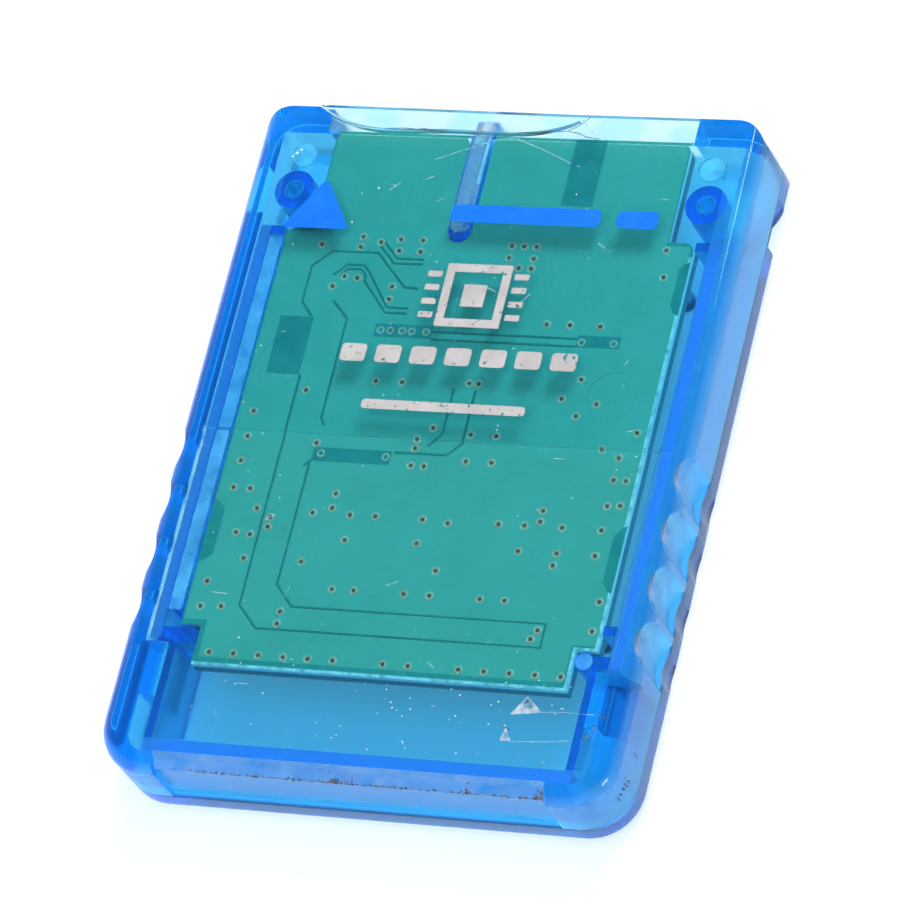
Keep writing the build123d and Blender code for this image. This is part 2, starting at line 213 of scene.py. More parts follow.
boardFinish = {
    "copper": (0.155, 0.445, 0.3),
    "bare": (0.05, 0.31, 0.24),
    "cutRimSheenAndDust": (0.9, 0.92, 0.85),
    "cutEdge": (0.16, 0.24, 0.24),
    "dimmest": (0.86, 0.9, 0.88),
    "rimDepth": 0.4,
    "rimWidth": 0.26,
    "edgeSlack": 0.02,
    "top": 6.05,
    "bottom": 4.85,
    "roughness": 0.34,
    "wander": 0.16,
    "cloudPerMetre": 220.0,
    "powderPerMetre": 1500.0,
    "powderStops": ((0.3, 0.2), (0.6, 0.9)),
    "weavePerMetre": 2500.0,
    "weaveBump": 0.012 * mm,
    "copperStep": 2.0,
    "grainRange": (0.38, 0.62),
    "copperBoxes": [
        ((-16.9, 16.72), (-15.4, 17.9)),
        ((-14.9, 14.9), (-18.45, 0.0)),
        ((-14.75, 14.75), (17.0, 27.0)),
    ],
    "outlineBoxes": [
        ((-18.0, 17.0), (-15.8, 19.0)),
        ((-18.0, 15.3), (-19.1, 1.0)),
        ((-18.0, 18.0), (16.74, 26.75)),
    ],
}


def inAny(x, y, boxes, inset=0.0):
    # 1 inside any of the boxes drawn over the board, 0 elsewhere
    whole = 0.0
    for (left, right), (near, far) in boxes:
        across = over(x, left + inset) * under(x, right - inset)
        along = over(y, near + inset) * under(y, far - inset)
        whole = x.maths("MAXIMUM", whole, across * along)
    return whole


def boardLaminate():
    # green mask over the copper, bare margins, pale cut edges: dust on the routed edge and a painted
    # highlight along it
    material, strand = newMaterial("boardLaminate")
    x, y, z = axesOf(strand)
    copper = inAny(x, y, boardFinish["copperBoxes"])
    mask = mixed(strand, copper, boardFinish["bare"], boardFinish["copper"])
    # a pale strip round the routed outline, patchy from a noise: dust on the cut edge, and a painted
    # highlight of the light it catches
    routed = 1.0 - inAny(x, y, boardFinish["outlineBoxes"], boardFinish["rimWidth"])
    powder = noiseOf(strand, boardFinish["powderPerMetre"])
    dustAndSheen = rampOf(strand, powder, *((place, (level,) * 3) for place, level in boardFinish["powderStops"]))
    mask = mixed(strand, routed * dustAndSheen, mask, boardFinish["cutRimSheenAndDust"])
    cloudy = noiseOf(strand, boardFinish["cloudPerMetre"], detail=4.0)
    weave = noiseOf(strand, boardFinish["weavePerMetre"], detail=2.0)
    start, end = boardFinish["grainRange"]
    dimmed = rampOf(strand, (cloudy + weave) * 0.5, (start, boardFinish["dimmest"]), (end, (1, 1, 1)))
    multiplied = {"data_type": "RGBA", "blend_type": "MULTIPLY"}
    tone = strand.make("Mix", multiplied, {0: 1.0, 6: mask, 7: dimmed}, 2)
    low = boardFinish["bottom"] + boardFinish["edgeSlack"]
    high = boardFinish["top"] - boardFinish["edgeSlack"]
    edge = over(z, low) * under(z, high)
    # the top of the cut side is painted pale as well, dust and a painted highlight; the side below keeps the
    # darker cut colour
    rim = over(z, boardFinish["top"] - boardFinish["rimDepth"])
    side = mixed(strand, rim, boardFinish["cutEdge"], boardFinish["cutRimSheenAndDust"])
    return surfaced(material, strand, {
        "Base Color": mixed(strand, edge, tone, side),
        "Roughness": boardFinish["roughness"] + cloudy * boardFinish["wander"],
        "Normal": bumpOf(strand, weave + copper * boardFinish["copperStep"], boardFinish["weaveBump"]),
    })


grainFinish = {
    "range": (0.35, 0.65),
    "wander": 0.16,
    "bump": 0.01 * mm,
}


def speckled(name, first, second, perMetre, roughness, metallic=0.0, stretch=(1, 1, 1)):
    # two close tones in a fine grain, a little bump from the same grain
    material, strand = newMaterial(name)
    grain = noiseOf(strand, perMetre, 4.0, stretch)
    start, end = grainFinish["range"]
    wander = grainFinish["wander"]
    return surfaced(material, strand, {
        "Base Color": rampOf(strand, grain, (start, first), (end, second)),
        "Roughness": roughness - wander / 2 + grain * wander,
        "Metallic": metallic,
        "Normal": bumpOf(strand, grain, grainFinish["bump"]),
    })


ceramics = {
    "bodies": {
        "capacitor": (0.5, 0.36, 0.24),
        "resistor": (0.03, 0.03, 0.035),
        "resonator": (0.7, 0.68, 0.6),
    },
    "capLength": 0.4,
    "capColour": (0.75, 0.74, 0.72),
    "capPolish": 0.2,
    "perMetre": 3000.0,
    "range": (0.3, 0.7),
    "darker": 0.8,
    "roughness": 0.55,
    "wander": 0.1,
}


def cappedCeramic(name, body, middle, reach):
    # ceramic between two tinned ends, told apart by the distance from the piece's middle
    material, strand = newMaterial(name)
    x = axesOf(strand)[0]
    grain = noiseOf(strand, ceramics["perMetre"])
    ends = over(x.maths("ABSOLUTE", x - middle, 0.0), reach)
    start, end = ceramics["range"]
    darker = tuple(tone * ceramics["darker"] for tone in body)
    ceramic = rampOf(strand, grain, (start, darker), (end, body))
    return surfaced(material, strand, {
        "Base Color": mixed(strand, ends, ceramic, ceramics["capColour"]),
        "Metallic": ends,
        "Roughness": ceramics["roughness"] - ends * ceramics["capPolish"] + grain * ceramics["wander"],
    })


wornFinish = {
    "shadeScale": 0.2,
    "range": (0.35, 0.65),
    "darker": 0.85,
    "wander": 0.12,
}


def faded(name, colour, roughness, perMetre, low, high, metallic=0.0, most=1.0):
    # a thin layer with holes through it in a noise pattern: worn on print and film, patchy on the painted
    # highlights, reflections, shade and light
    material, strand = newMaterial(name)
    worn = noiseOf(strand, perMetre, detail=5.0)
    shade = noiseOf(strand, perMetre * wornFinish["shadeScale"])
    start, end = wornFinish["range"]
    wander = wornFinish["wander"]
    darker = tuple(tone * wornFinish["darker"] for tone in colour)
    cover = rampOf(strand, worn, (low, (0, 0, 0)), (high, (most,) * 3))
    return surfaced(material, strand, {
        "Base Color": rampOf(strand, shade, (start, darker), (end, colour)),
        "Roughness": roughness - wander / 2 + shade * wander,
        "Metallic": metallic,
        "Alpha": cover,
    })


def dress(node, material):
    data = nodes[node].data
    data.materials.clear()
    data.materials.append(material)


laminate = boardLaminate()
gold = speckled("goldPlate", (0.85, 0.6, 0.22), (0.95, 0.72, 0.32),
                perMetre=900.0, roughness=0.32, metallic=1.0, stretch=(6, 1, 1))
resin = speckled("chipResin", (0.022, 0.022, 0.025), (0.04, 0.04, 0.044),
                 perMetre=4000.0, roughness=0.5)
tin = speckled("tinPlate", (0.62, 0.62, 0.6), (0.75, 0.75, 0.74),
               perMetre=2500.0, roughness=0.35, metallic=1.0)
for name in nodes:
    low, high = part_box(name)
    middle = (low[0] + high[0]) / 2 / mm
    reach = (high[0] - low[0]) / 2 / mm - ceramics["capLength"]
    kind = name.split("_")[0]
    if name == "circuit_board":
        dress(name, laminate)
    elif name.startswith("contact_pad"):
        dress(name, gold)
    elif name.endswith("leads"):
        dress(name, tin)
    elif name.endswith("chip"):
        dress(name, resin)
    elif kind in ceramics["bodies"]:
        dress(name, cappedCeramic(name + "Ceramic", ceramics["bodies"][kind], middle, reach))
print("board and its parts dressed")


def addPiece(name, bm, slot, *materials):
    mesh = bpy.data.meshes.new(name)
    bm.to_mesh(mesh)
    bm.free()
    for material in materials:
        mesh.materials.append(material)
    piece = bpy.data.objects.new(name, mesh)
    bpy.context.scene.collection.objects.link(piece)
    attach(piece, "root")
    return piece


shellCopies = {
    "sharpAngle": math.radians(32),
    "mergeWithin": 0.002 * mm,
    "upper": {"node": "upper_shell", "innerTop": 6.78, "sideHaze": 0.05, "density": 560.0},
    "lower": {"node": "lower_shell", "innerTop": 6.25, "sideHaze": 0.1, "density": 1050.0},
}


def mouldedShell(name, node, innerTop, sideHaze, density):
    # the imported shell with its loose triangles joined, so that the rounded edges shade smoothly
    bm = bmesh.new()
    bm.from_mesh(nodes[node].data)
    bmesh.ops.remove_doubles(bm, verts=bm.verts, dist=shellCopies["mergeWithin"])
    for face in bm.faces:
        face.smooth = True
    for edge in bm.edges:
        edge.smooth = edge.calc_face_angle(0) < shellCopies["sharpAngle"]
    plastic = bluePlastic(name + "Plastic", innerTop, sideHaze, density)
    shell = addPiece(name, bm, "clear_blue_plastic", plastic)
    shell.modifiers.new("flatFacesFirst", "WEIGHTED_NORMAL").keep_sharp = True
    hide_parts(node)


mouldedShell("upperShell", **shellCopies["upper"])
mouldedShell("lowerShell", **shellCopies["lower"])
print("shells joined and frosted inside")


def addSheet(bm, corners, lift, rounding=0.0):
    # a thin piece drawn by its corners in millimetres, thickened by a lift
    sheet = bmesh.new()
    sheet.faces.new([sheet.verts.new(Vector(corner) * mm) for corner in corners])
    if rounding:
        bmesh.ops.bevel(sheet, geom=sheet.verts[:], offset=rounding * mm, offset_type="OFFSET",
                        affect="VERTICES", segments=4, profile=0.5, material=-1)
    grown = bmesh.ops.extrude_face_region(sheet, geom=sheet.faces[:], use_keep_orig=True)
    risen = [item for item in grown["geom"] if isinstance(item, bmesh.types.BMVert)]
    bmesh.ops.translate(sheet, verts=risen, vec=Vector(lift) * mm)
    bmesh.ops.recalc_face_normals(sheet, faces=sheet.faces)
    mesh = bpy.data.meshes.new("sheet")
    sheet.to_mesh(mesh)
    sheet.free()
    bm.from_mesh(mesh)
    bpy.data.meshes.remove(mesh)


def addPlate(bm, corners, low, high, rounding=0.0):
    addSheet(bm, [(x, y, low) for x, y in corners], (0, 0, high - low), rounding)


def bar(x, y, width, height):
    return [(x - width / 2, y - height / 2), (x + width / 2, y - height / 2),
            (x + width / 2, y + height / 2), (x - width / 2, y + height / 2)]


fleckShape = (1.0, 0.7, 0.35)


def addFleck(bm, place, size, turn):
    # a flattened crumb, half sunk in what it lies on
    shape = Matrix.Translation(Vector(place) * mm) @ Matrix.Rotation(turn, 4, "Z")
    shape = shape @ Matrix.Diagonal((*(size * part * mm for part in fleckShape), 1))
    bmesh.ops.create_icosphere(bm, subdivisions=1, radius=1, matrix=shape)


def ribbons(lines, width, height, level):
    # low ridges along drawn lines: a thin square section, pressed flat
    curve = bpy.data.curves.new("ribbon", "CURVE")
    curve.dimensions = "3D"
    curve.twist_mode = "Z_UP"
    curve.bevel_depth = width / 2 * mm
    curve.bevel_resolution = 0
    curve.use_fill_caps = True
    for line in lines:
        spline = curve.splines.new("POLY")
        spline.points.add(len(line) - 1)
        for point, (x, y) in zip(spline.points, line):
            point.co = (x * mm, y * mm, 0, 1)
    holder = bpy.data.objects.new("ribbon", curve)
    mesh = bpy.data.meshes.new_from_object(holder)
    mesh.transform(Matrix.Diagonal((1, 1, 2 * height / width, 1)))
    mesh.transform(Matrix.Translation((0, 0, level * mm)))
    bm = bmesh.new()
    bm.from_mesh(mesh)
    bpy.data.objects.remove(holder)
    bpy.data.curves.remove(curve)
    bpy.data.meshes.remove(mesh)
    return bm


bareWindows = {
    "thickness": 0.02,
    "outlines": [
        [(-15.55, 5.55), (-12.75, 5.55), (-12.75, 10.5), (-15.55, 10.5)],
        [(-16.98, -5.3), (-16.4, -5.6), (-15.95, -6.1), (-15.95, -9.9), (-16.5, -10.4), (-16.98, -10.7)],
        [(16.98, -5.5), (16.5, -5.9), (16.1, -6.4), (16.1, -10.2), (16.55, -10.8), (16.98, -11.1)],
        [(16.98, 12.0), (16.5, 12.3), (16.2, 12.8), (16.2, 15.9), (16.55, 16.4), (16.98, 16.6)],
        [(5.3, 21.0), (7.9, 21.0), (7.9, 26.72), (5.3, 26.72)],
        [(9.4, 9.0), (12.9, 9.0), (12.9, 10.0), (9.4, 10.0)],
        [(-9.9, -1.65), (-9.9, -0.5), (-3.4, -0.5), (-3.4, -1.65)],
        [(-7.4, 9.1), (-2.6, 9.1), (-2.6, 10.2), (-7.4, 10.2)],
    ],
}


def boardWindows():
    bm = bmesh.new()
    top = boardFinish["top"]
    for outline in bareWindows["outlines"]:
        addPlate(bm, outline, top - bareWindows["thickness"], top + bareWindows["thickness"])
    bare = speckled("bareLaminate", (0.025, 0.24, 0.19), (0.04, 0.29, 0.22),
                    perMetre=700.0, roughness=0.4)
    addPiece("bareWindows", bm, "board_laminate", bare)


isolation = {
    "width": 0.2,
    "height": 0.012,
    "lines": [
        [(-12.6, 5.5), (-12.6, -13.95), (-10.8, -15.78), (12.43, -15.78), (12.45, -13.83),
         (-8.3, -13.83), (-9.95, -12.1), (-9.95, -1.7)],
        [(-13.0, 10.6), (-14.07, 11.8), (-14.07, 14.9), (-12.6, 16.27), (-8.74, 16.27),
         (-5.87, 13.4), (-4.7, 13.33)],
        [(-8.65, 17.46), (-7.07, 15.85), (-4.8, 15.85)],
        [(-8.74, 16.9), (-7.26, 15.43), (-4.8, 15.43)],
        [(-12.05, 14.2), (-11.1, 15.15), (-9.67, 15.15), (-9.1, 14.6), (-6.9, 11.63), (-5.1, 11.6)],
        [(-11.5, 14.2), (-10.96, 14.78), (-9.76, 14.78), (-9.3, 14.2), (-9.3, 13.76),
         (-6.9, 11.17), (-5.1, 11.15)],
        [(-11.5, 12.0), (-9.95, 10.5), (-9.9, 1.95), (-9.5, 1.3)],
        [(-2.6, 9.7), (9.4, 9.7)],
        [(-2.6, 9.05), (9.4, 9.05)],
        [(-3.2, -0.57), (1.1, -0.57), (2.18, 0.46), (2.18, 4.9)],
        [(0.39, 5.0), (0.39, 1.1), (-0.6, 0.1)],
        [(-9.9, -1.6), (-10.4, -2.1)],
    ],
}


def isolationLines():
    bm = ribbons(isolation["lines"], isolation["width"], isolation["height"], boardFinish["top"])
    line = speckled("isolationLine", (0.03, 0.22, 0.15), (0.05, 0.27, 0.18),
                    perMetre=900.0, roughness=0.45)
    addPiece("isolationLines", bm, "board_laminate", line)


vias = {
    "steps": 10,
    "profile": [(0, 0.004), (0.17, 0.004), (0.22, 0.035), (0.33, 0.03), (0.38, -0.01), (0, -0.01)],
    "holeRadius": 0.18,
    "mergeWithin": 0.001 * mm,
    "rowY": -18.0,
    "rowStart": -14.1,
    "rowPitch": 2.05,
    "rowCount": 15,
    "rowMissing": (6, 9),
    "upperLeft": [
        (-10.4, 17.6), (-10.4, 16.7), (-7.2, 17.5), (-7.1, 16.5), (-5.3, 17.5), (-5.3, 16.5), (-8.8, 17.2),
        (-13.7, 16.8), (-11.1, 14.1), (-10.0, 14.0), (-11.9, 13.2), (-6.9, 13.4), (-6.9, 12.3), (-6.9, 9.65),
        (-6.1, 9.65), (-5.1, 9.65), (-4.3, 9.65), (-3.1, 9.65), (-6.2, 5.3), (-4.0, 5.3), (-11.8, 4.2),
    ],
    "upperRight": [
        (2.15, 17.33), (3.17, 17.33), (4.2, 17.33), (2.15, 16.3), (4.2, 16.3), (2.15, 15.45), (3.15, 15.45),
        (4.2, 15.45), (14.8, 17.5), (15.1, 15.2), (6.6, 10.8), (8.5, 10.8), (11.0, 10.8), (9.8, 9.4),
        (12.4, 9.4), (10.5, 6.3), (1.5, 5.5), (2.3, 5.5), (9.3, 4.6), (12.2, 4.3),
    ],
    "lowerLeft": [
        (-15.7, 2.2), (-15.7, 0.1), (-9.8, -0.15), (-9.2, -1.0), (-3.8, -1.0), (-0.5, 1.6), (-1.6, 0.6),
        (-1.6, -0.15), (-1.6, -1.6), (-0.5, -1.6), (-15.7, -2.0), (-15.7, -4.3), (-14.3, -4.3), (-7.1, -4.3),
        (-7.1, -5.5), (-8.6, -6.0), (-5.5, -6.0), (-3.4, -6.0), (-13.3, -5.9), (-12.0, -6.6), (-12.0, -7.4),
        (-14.5, -8.0), (-13.3, -8.1), (-5.4, -8.1), (-13.3, -10.1), (-8.5, -10.1), (-15.8, -12.2),
        (-5.4, -12.2), (-3.6, -12.2), (-15.8, -14.3), (-14.1, -14.2), (-9.15, -14.3), (-9.15, -15.3),
    ],
    "lowerRight": [
        (10.8, 3.2), (16.0, 2.1), (13.5, 0.6), (15.0, 0.0), (2.7, 1.2), (4.8, 1.2), (2.8, -1.0), (4.9, -1.0),
        (15.0, -1.85), (16.0, -1.85), (15.0, -4.0), (16.0, -3.9), (10.0, -4.7), (10.0, -5.6), (0.5, -6.0),
        (2.6, -6.2), (6.7, -6.0), (8.8, -6.0), (11.85, -6.0), (15.0, -6.0), (0.5, -8.0), (8.8, -8.1),
        (11.9, -8.1), (15.0, -8.1), (11.85, -9.1), (2.6, -10.15), (0.5, -12.2), (2.6, -12.2), (6.7, -12.2),
        (8.7, -12.2), (16.2, -11.8), (16.2, -14.2), (11.9, -14.4), (11.5, -15.15),
    ],
}


def viaRings():
    row = [(vias["rowStart"] + vias["rowPitch"] * i, vias["rowY"])
           for i in range(vias["rowCount"]) if i not in vias["rowMissing"]]
    places = row + vias["upperLeft"] + vias["upperRight"] + vias["lowerLeft"] + vias["lowerRight"]
    bm = bmesh.new()
    chain = [bm.verts.new((radius * mm, 0, height * mm)) for radius, height in vias["profile"]]
    edges = [bm.edges.new(pair) for pair in zip(chain, chain[1:])]
    bmesh.ops.spin(bm, geom=chain + edges, cent=(0, 0, 0), axis=(0, 0, 1), angle=2 * math.pi,
                   steps=vias["steps"], use_merge=True)
    bmesh.ops.remove_doubles(bm, verts=bm.verts, dist=vias["mergeWithin"])
    bmesh.ops.recalc_face_normals(bm, faces=bm.faces)
    # the flat middle disc takes the second material, painted dark brown as the shade down each via's bore
    for face in bm.faces:
        face.material_index = int(face.calc_center_median().xy.length < vias["holeRadius"] * mm)
    first = [*bm.verts, *bm.edges, *bm.faces]
    for x, y in places:
        copy = bmesh.ops.duplicate(bm, geom=first)["geom"]
        points = [item for item in copy if isinstance(item, bmesh.types.BMVert)]
        bmesh.ops.translate(bm, verts=points, vec=(x * mm, y * mm, boardFinish["top"] * mm))
    bmesh.ops.delete(bm, geom=[item for item in first if isinstance(item, bmesh.types.BMVert)])
    ring = speckled("tinnedRing", (0.95, 0.48, 0.28), (1.0, 0.7, 0.45),
                    perMetre=3000.0, roughness=0.35, metallic=0.4)
    # painted shade: a dark brown disc stands for the depth of each via
    holeShade = speckled("viaHolePaintedShade", (0.14, 0.06, 0.03), (0.22, 0.1, 0.06),
                    perMetre=3000.0, roughness=0.6)
    addPiece("viaRings", bm, "tinned_leads", ring, holeShade)


boardWindows()
isolationLines()
viaRings()
print("board artwork and vias laid")

plateTop = 7.8

facePrint = {
    "thickness": 0.012,
    "chipRounding": 0.08,
    "barRounding": 0.3,
    "blueRounding": 0.5,
    "chipFrame": [bar(0.6, 14.7, 5.4, 0.7), bar(0.6, 10.0, 5.4, 0.7), bar(-1.75, 12.35, 0.7, 4.0),
                  bar(2.95, 12.35, 0.7, 4.0), bar(0.6, 12.35, 1.9, 1.9)],
    "pinSides": (-3.0, 4.2),
    "pinHeights": (10.6, 11.75, 12.95, 14.1),
    "pinSize": (1.2, 0.5),
    "gauge": [bar(-8.1 + 2.9 * i, 7.1, 2.1, 1.5) for i in range(7)],
    "rule": [bar(0.4, 2.8, 13.5, 0.8)],
    "arrow": [(-17.0, 17.6), (-11.2, 17.6), (-14.1, 22.0)],
    "blueBars": [bar(3.2, 19.4, 12.4, 1.5), bar(12.4, 19.4, 3.4, 1.5)],
}


def silverPrint():
    bm = bmesh.new()
    high = plateTop + facePrint["thickness"]
    pins = [bar(x, y, *facePrint["pinSize"]) for x in facePrint["pinSides"] for y in facePrint["pinHeights"]]
    for outline in facePrint["chipFrame"] + pins:
        addPlate(bm, outline, plateTop, high, facePrint["chipRounding"])
    for outline in facePrint["gauge"] + facePrint["rule"]:
        addPlate(bm, outline, plateTop, high, facePrint["barRounding"])
    silver = faded("silverInk", (0.55, 0.53, 0.54),
                   roughness=0.5, perMetre=2200.0, low=0.32, high=0.38, metallic=0.25)
    addPiece("silverPrint", bm, "tinned_leads", silver)


def bluePrint():
    bm = bmesh.new()
    high = plateTop + facePrint["thickness"]
    for outline in [facePrint["arrow"]] + facePrint["blueBars"]:
        addPlate(bm, outline, plateTop, high, facePrint["blueRounding"])
    blue = faded("blueInk", (0.0, 0.17, 0.85),
                 roughness=0.4, perMetre=2200.0, low=0.26, high=0.33)
    addPiece("bluePrint", bm, "clear_blue_plastic", blue)


silverPrint()
bluePrint()
print("face print laid")

ribHaze = {
    "outline": [(-3.3, 18.3), (-1.7, 18.3), (-1.7, 28.05), (-3.3, 28.05)],
    "streaks": [
        [(-3.1, 26.0), (-2.2, 26.0), (-2.1, 28.0), (-2.8, 28.0)],
        [(-2.05, 22.5), (-1.75, 22.5), (-1.72, 27.2), (-1.95, 27.2)],
    ],
    "low": 6.2,
    "high": 6.22,
    "rounding": 0.6,
    "streakThickness": 0.01,
}


def rubbedRibWithSheen():
    # the key rib's top, worn dull by rubbing where the socket's key runs, with a pale cap and white streaks
    # painted on as the sheen of light in its frosted top
    bm = bmesh.new()
    addPlate(bm, ribHaze["outline"], ribHaze["low"], ribHaze["high"], ribHaze["rounding"])
    dull = faded("rubbedRibWithSheen", (0.6, 0.44, 0.52),
                 roughness=0.6, perMetre=420.0, low=0.2, high=0.8)
    addPiece("rubbedRibWithSheen", bm, "clear_blue_plastic", dull)
    bm = bmesh.new()
    for outline in ribHaze["streaks"]:
        addPlate(bm, outline, ribHaze["high"], ribHaze["high"] + ribHaze["streakThickness"])
    # painted sheen: white streaks over the rib's top
    white = faded("ribSheenStreak", (1.0, 0.85, 0.8),
                  roughness=0.6, perMetre=900.0, low=0.3, high=0.6)
    addPiece("ribSheenStreaks", bm, "clear_blue_plastic", white)


crack = {
    "paleWidth": 0.07,
    "darkWidth": 0.06,
    "height": 0.006,
    "reflectingEdges": [
        [(-15.2, 27.35), (-14.2, 26.95), (-12.9, 26.62), (-11.4, 26.5), (-9.8, 26.45)],
        [(-1.17, 25.78), (0.11, 26.04), (0.92, 26.0), (3.4, 25.1), (5.78, 24.07)],
        [(-1.4, 25.63), (-3.4, 24.85), (-5.44, 24.0)],
        [(4.9, 26.85), (6.1, 26.55), (8.1, 26.1)],
        [(5.9, 27.9), (6.5, 27.2), (7.4, 26.6)],
    ],
    "shadedEdges": [
        [(-10.3, 26.52), (-8.6, 26.6), (-7.0, 26.5), (-4.8, 26.47), (-2.0, 26.45), (0.5, 26.4), (1.2, 26.55),
         (3.0, 26.65), (4.9, 26.85)],
        [(4.9, 26.85), (5.7, 27.3), (6.5, 28.1)],
        [(-7.6, 26.55), (-7.0, 26.62), (-6.4, 26.52)],
        [(5.0, 26.8), (5.9, 26.7), (6.6, 26.35), (7.7, 26.25)],
    ],
}


def crackEdges():
    # pale lines painted as the reflection off the crack's faces, dark lines painted as the shade along the
    # crack
    bm = ribbons(crack["reflectingEdges"], crack["paleWidth"], crack["height"], plateTop)
    pale = faded("crackPaintedReflection", (0.5, 0.85, 0.9),
                 roughness=0.4, perMetre=1500.0, low=0.25, high=0.6, most=0.75)
    addPiece("crackPaintedReflection", bm, "clear_blue_plastic", pale)
    bm = ribbons(crack["shadedEdges"], crack["darkWidth"], crack["height"], plateTop)
    dark = faded("crackPaintedShade", (0.03, 0.1, 0.16),
                 roughness=0.5, perMetre=1500.0, low=0.2, high=0.45, most=0.8)
    addPiece("crackPaintedShade", bm, "chip_resin", dark)


mouldMarks = {
    "pins": [(-17.05, 24.4, 6.385, 0.98), (17.05, 24.4, 6.385, 0.98)],
    "postTops": [(16.2, -16.7, 6.215, 0.68)],
    "strips": [(-17.62, 8.9, 1.1, 16.6, 6.28), (-17.62, -7.3, 1.1, 15.2, 6.48)],
    "thickness": 0.02,
    "segments": 24,
    "rounding": 0.2,
}


def dullMarksAndPaintedLight():
    # rough spots of the mould: ejector discs; pale strips under the face over the gaps beside the board,
    # partly frosting and partly painted light from the floor seen through there; a pale disc on a post's top
    bm = bmesh.new()
    for x, y, z, radius in mouldMarks["pins"] + mouldMarks["postTops"]:
        place = Matrix.Translation(Vector((x, y, z)) * mm)
        bmesh.ops.create_cone(bm, cap_ends=True, segments=mouldMarks["segments"], radius1=radius * mm,
                              radius2=radius * mm, depth=mouldMarks["thickness"] * mm, matrix=place)
    for x, y, width, height, level in mouldMarks["strips"]:
        addPlate(bm, bar(x, y, width, height), level - mouldMarks["thickness"], level,
                 mouldMarks["rounding"])
    # painted light: the pale sheets brighten the gaps beside the board
    pale = faded("dullMarkAndPaintedLight", (0.6, 0.8, 1.0),
                 roughness=0.6, perMetre=500.0, low=0.25, high=0.8, most=0.4)
    addPiece("dullMarksAndPaintedLight", bm, "clear_blue_plastic", pale)


rubbedRibWithSheen()
crackEdges()
dullMarksAndPaintedLight()
print("rubbed rib, crack and mould marks done")

# crumbs, film and scratches, and the pale line painted as a highlight along the left grip
wearAndHighlight = {
    "grooves": [[(-18.75, 0.2), (-18.75, -17.5)]],
    "grooveWidth": 0.12,
    "grooveHeight": 0.01,
    "grooveDepth": 0.075,
    "film": [
        [(13.0, -20.2), (11.9, -21.8), (14.4, -21.45)],
        [(11.87, -22.8), (11.6, -23.9), (12.5, -23.85)],
    ],
    "filmThickness": 0.01,
    "filmRounding": 0.15,
    "filmLineWidth": 0.05,
    "filmLineHeight": 0.006,
    "filmLines": [
        [(13.8, -21.45), (16.2, -21.3), (18.5, -21.35)],
        [(12.4, -23.9), (14.6, -23.75), (17.1, -23.5)],
    ],
    "crumbTrails": [((18.8, -21.45), (19.5, -21.55), 7), ((18.8, -22.0), (18.6, -22.75), 8),
                    ((18.5, -23.05), (17.9, -23.5), 7), ((11.35, -22.6), (12.15, -22.95), 5)],
    "crumbSeed": 8,
    "crumbSpread": 0.06,
    "crumbSizes": (0.05, 0.11),
    "scratchSeed": 5,
    "scratchCount": 26,
    "scratchField": ((-15, 16), (-24, 24)),
    "scratchTurns": (-0.6, 1.3),
    "scratchReach": (0.3, 1.5),
    "scratchWidth": 0.035,
    "scratchHeight": 0.004,
}


def groovesAndFilm():
    # a pale line inside the face along the left grip's edge, a painted highlight of the light that edge
    # catches
    level = plateTop - wearAndHighlight["grooveDepth"]
    bm = ribbons(wearAndHighlight["grooves"], wearAndHighlight["grooveWidth"], wearAndHighlight["grooveHeight"], level)
    sheened = faded("gripLineHighlight", (0.6, 0.8, 1.0),
                   roughness=0.5, perMetre=1200.0, low=0.3, high=0.7, most=0.5)
    addPiece("gripLineHighlight", bm, "clear_blue_plastic", sheened)
    bm = ribbons(wearAndHighlight["filmLines"], wearAndHighlight["filmLineWidth"], wearAndHighlight["filmLineHeight"], plateTop)
    for outline in wearAndHighlight["film"]:
        addPlate(bm, outline, plateTop, plateTop + wearAndHighlight["filmThickness"], wearAndHighlight["filmRounding"])
    film = faded("gumFilm", (0.75, 0.8, 0.84),
                 roughness=0.6, perMetre=1500.0, low=0.3, high=0.7, most=0.6)
    addPiece("gumFilm", bm, "pale_ceramic", film)
    spread = random.Random(wearAndHighlight["crumbSeed"])
    bm = bmesh.new()
    for (startX, startY), (endX, endY), count in wearAndHighlight["crumbTrails"]:
        for number in range(count):
            along = number / (count - 1)
            x = startX + (endX - startX) * along + spread.gauss(0, wearAndHighlight["crumbSpread"])
            y = startY + (endY - startY) * along + spread.gauss(0, wearAndHighlight["crumbSpread"])
            addFleck(bm, (x, y, plateTop), spread.uniform(*wearAndHighlight["crumbSizes"]), spread.uniform(0, math.pi))
    dirt = speckled("crumb", (0.04, 0.05, 0.05), (0.2, 0.17, 0.1),
                    perMetre=1800.0, roughness=0.7)
    addPiece("crumbs", bm, "chip_resin", dirt)


def scratches():
    spread = random.Random(wearAndHighlight["scratchSeed"])
    lines = []
    for number in range(wearAndHighlight["scratchCount"]):
        x, y = [spread.uniform(*span) for span in wearAndHighlight["scratchField"]]
        turn = spread.uniform(*wearAndHighlight["scratchTurns"])
        reach = spread.uniform(*wearAndHighlight["scratchReach"])
        lines.append([(x, y), (x + reach * math.cos(turn), y + reach * math.sin(turn))])
    bm = ribbons(lines, wearAndHighlight["scratchWidth"], wearAndHighlight["scratchHeight"], plateTop)
    pale = faded("scratch", (0.85, 0.95, 0.98),
                 roughness=0.5, perMetre=1500.0, low=0.42, high=0.6)
    addPiece("scratches", bm, "clear_blue_plastic", pale)


